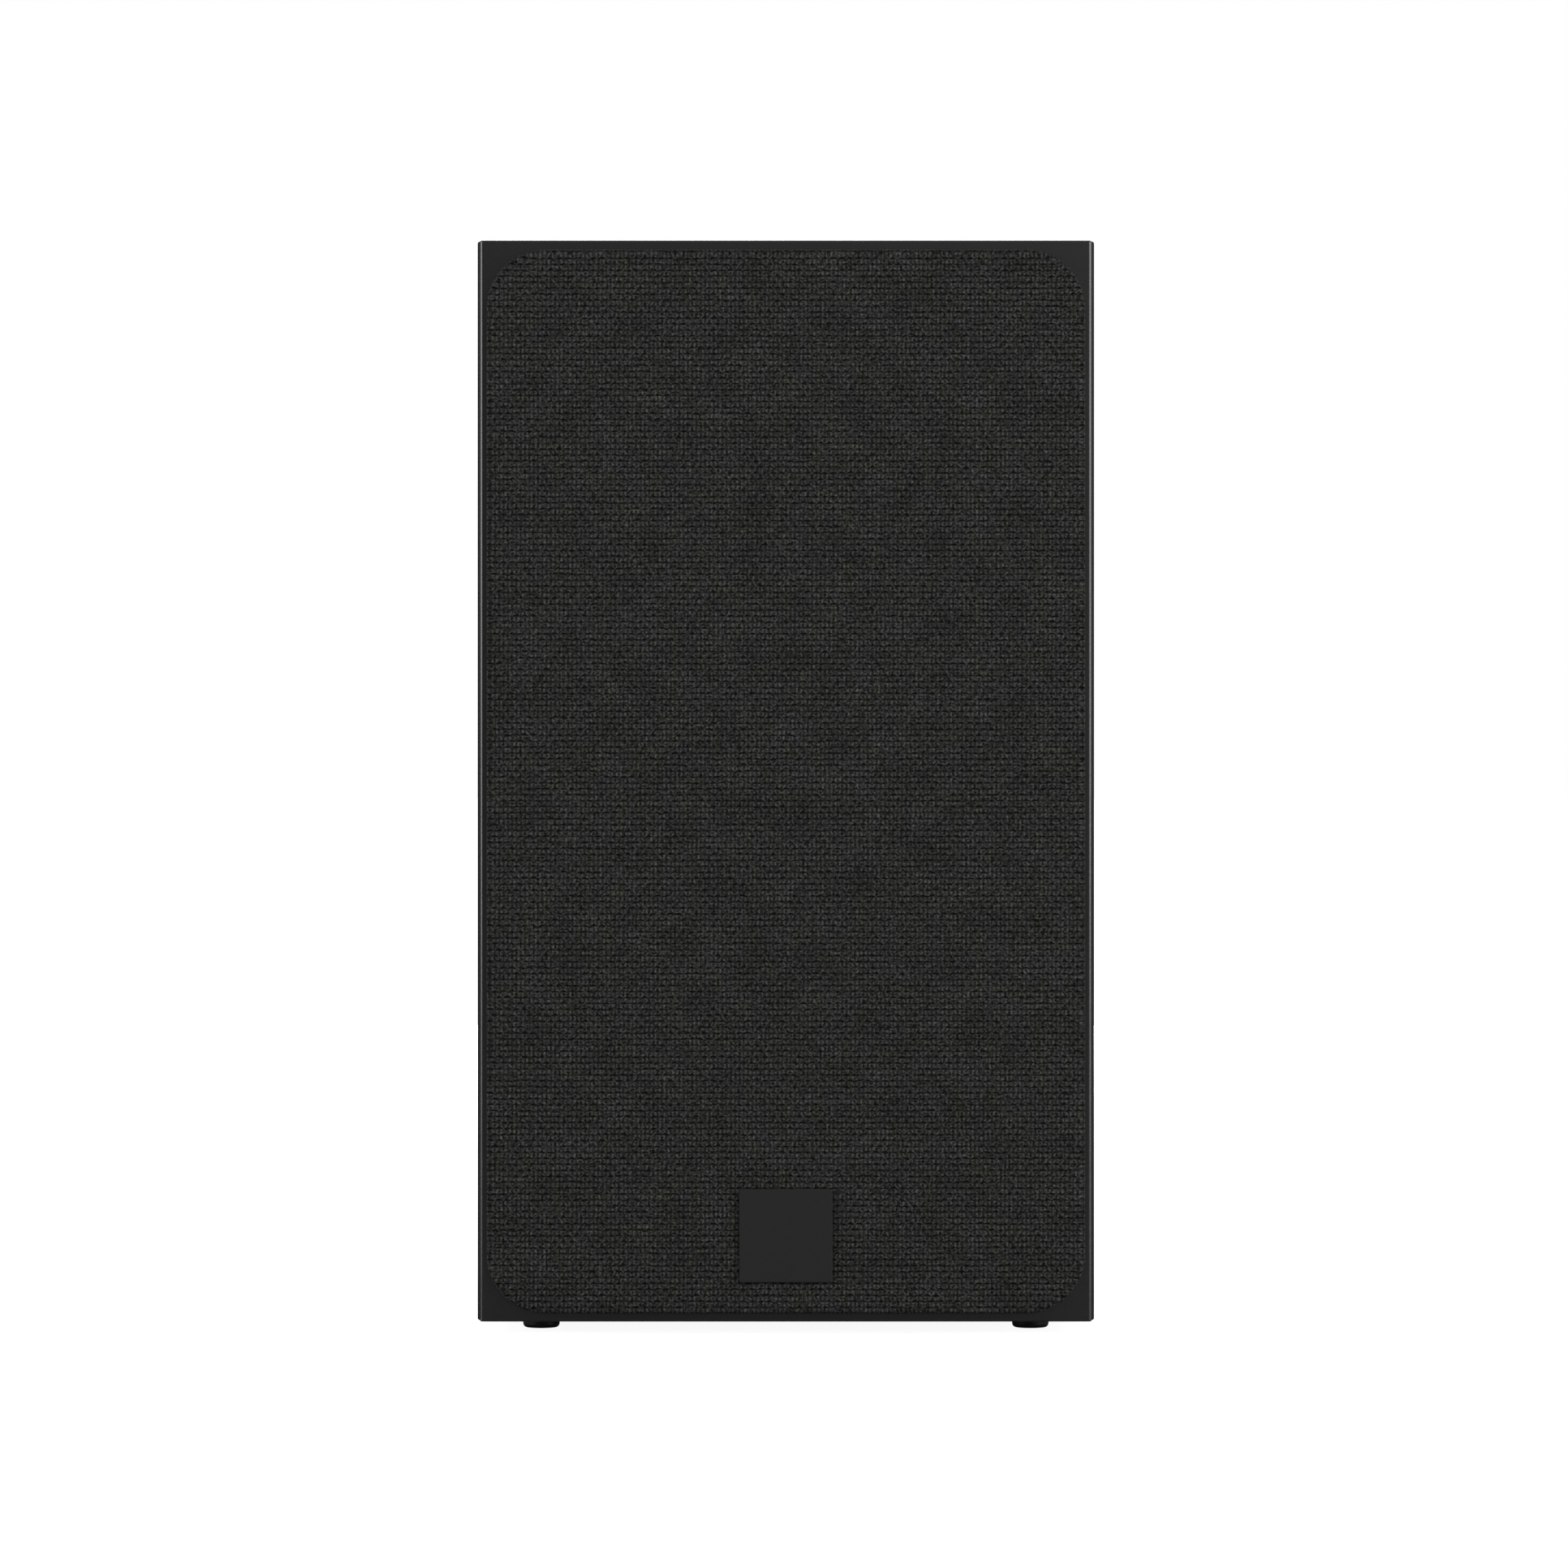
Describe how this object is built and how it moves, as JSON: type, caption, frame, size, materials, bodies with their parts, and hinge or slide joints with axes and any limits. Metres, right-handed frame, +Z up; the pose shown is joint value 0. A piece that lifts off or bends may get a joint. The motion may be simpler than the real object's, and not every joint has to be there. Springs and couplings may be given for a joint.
{
  "type": "bookshelf loudspeaker",
  "caption": "Boxy two-way bookshelf loudspeaker on rubber feet, with a clip-on cloth grille over a dome tweeter and a cone woofer, a rear port and screw-down binding posts.",
  "frame": {"origin": "on the floor under the middle of the bounding box, the grille and badge included", "axes": "+Z up, -Y the way the speaker faces, +X to the right seen from the front"},
  "size_m": [0.2, 0.315, 0.354],
  "materials": {
    "vinyl_wrap": "black ash-grain vinyl wrap on fibreboard",
    "baffle_paint": "satin black paint on fibreboard",
    "raw_board": "bare fibreboard",
    "wadding": "loose white polyester",
    "foot_rubber": "matt",
    "socket_rubber": "matt",
    "gasket_foam": "matt foam",
    "frame_plastic": "moulded black",
    "grille_cloth": "plain woven, flecked black",
    "badge_metal": "satin dark grey, bare",
    "trim_plastic": "satin black",
    "basket_metal": "black powder coat",
    "surround_rubber": "satin",
    "cone_paper": "coated black",
    "former_metal": "plain",
    "copper_wire": "lacquered copper",
    "spider_cloth": "resin-stiffened",
    "motor_steel": "zinc plated",
    "ferrite": "ground, matt",
    "tag_brass": "tinned",
    "screw_steel": "black oxide",
    "faceplate_metal": "satin black anodised",
    "dome_cloth": "coated",
    "chamber_plastic": "moulded black",
    "port_plastic": "moulded black, fine texture",
    "cup_plastic": "moulded black, fine texture",
    "post_gold": "gold plated",
    "red_plastic": "red",
    "black_plastic": "black",
    "nut_steel": "zinc plated",
    "nylon": "natural",
    "board_laminate": "green solder mask",
    "bobbin_plastic": "black",
    "capacitor_film": "yellow film",
    "resistor_ceramic": "white",
    "lead_sleeve": "black sleeve"
  },
  "bodies": {
    "cabinet": {"top_panel": "vinyl_wrap", "bottom_panel": "vinyl_wrap", "left_panel": "vinyl_wrap", "right_panel": "vinyl_wrap", "front_baffle": "baffle_paint", "rear_panel": "vinyl_wrap", "cabinet_brace": "raw_board", "damping_wadding": "wadding", "feet": "foot_rubber", "grille_sockets": "socket_rubber", "woofer_trim_ring": "trim_plastic", "woofer_basket": "basket_metal", "woofer_surround": "surround_rubber", "woofer_spider": "spider_cloth", "woofer_front_plate": "motor_steel", "woofer_magnet": "ferrite", "woofer_yoke": "motor_steel", "driver_terminals": "tag_brass", "driver_screws": "screw_steel", "tweeter_faceplate": "faceplate_metal", "tweeter_surround": "dome_cloth", "tweeter_front_plate": "motor_steel", "tweeter_magnet": "ferrite", "tweeter_yoke": "motor_steel", "tweeter_rear_chamber": "chamber_plastic", "port_flare": "port_plastic", "port_tube": "port_plastic", "terminal_cup": "cup_plastic", "rear_screws": "screw_steel", "gaskets": "gasket_foam", "positive_post": "post_gold", "positive_collar": "red_plastic", "negative_post": "post_gold", "negative_collar": "black_plastic", "post_solder_tags": "tag_brass", "post_nuts": "nut_steel", "crossover_standoffs": "nylon", "crossover_board": "board_laminate", "inductor_bobbins": "bobbin_plastic", "inductor_windings": "copper_wire", "crossover_capacitors": "capacitor_film", "crossover_resistors": "resistor_ceramic", "internal_leads": "lead_sleeve"},
    "grille": {"grille_frame": "frame_plastic", "grille_cloth": "grille_cloth", "badge": "badge_metal", "grille_pegs": "frame_plastic"},
    "woofer_diaphragm": {"woofer_cone": "cone_paper", "woofer_dust_cap": "cone_paper", "voice_coil_former": "former_metal", "voice_coil": "copper_wire"},
    "tweeter_diaphragm": {"tweeter_dome": "dome_cloth", "tweeter_coil": "copper_wire"},
    "positive_clamp": {"positive_washer": "post_gold"},
    "positive_knob": {"positive_cap": "red_plastic", "positive_insert": "post_gold"},
    "negative_clamp": {"negative_washer": "post_gold"},
    "negative_knob": {"negative_cap": "black_plastic", "negative_insert": "post_gold"}
  },
  "joints": [
    {"name": "grille_pull", "type": "slide", "parent": "cabinet", "child": "grille", "axis": [0, -1, 0], "range_m": [0, 0.08]},
    {"name": "woofer_travel", "type": "slide", "parent": "cabinet", "child": "woofer_diaphragm", "axis": [0, -1, 0], "range_m": [-0.006, 0.006], "stiffness_N_per_m": 1200, "deforming": ["woofer_surround", "woofer_spider"]},
    {"name": "tweeter_travel", "type": "slide", "parent": "cabinet", "child": "tweeter_diaphragm", "axis": [0, -1, 0], "range_m": [-0.0004, 0.0004], "stiffness_N_per_m": 2000, "deforming": ["tweeter_surround"]},
    {"name": "positive_clamp_slide", "type": "slide", "parent": "cabinet", "child": "positive_clamp", "axis": [0, 1, 0], "range_m": [0, 0.0045]},
    {"name": "positive_knob_turn", "type": "hinge", "parent": "positive_clamp", "child": "positive_knob", "pos_m": [-0.018, 0.1444, 0.092], "axis": [0, 1, 0], "range_deg": [0, 1620]},
    {"name": "negative_clamp_slide", "type": "slide", "parent": "cabinet", "child": "negative_clamp", "axis": [0, 1, 0], "range_m": [0, 0.0045]},
    {"name": "negative_knob_turn", "type": "hinge", "parent": "negative_clamp", "child": "negative_knob", "pos_m": [0.018, 0.1444, 0.092], "axis": [0, 1, 0], "range_deg": [0, 1620]}
  ],
  "couplings": [
    {"joint": "positive_knob_turn", "follows": "positive_clamp_slide", "rad_per_m": 6283.2},
    {"joint": "negative_knob_turn", "follows": "negative_clamp_slide", "rad_per_m": 6283.2}
  ]
}
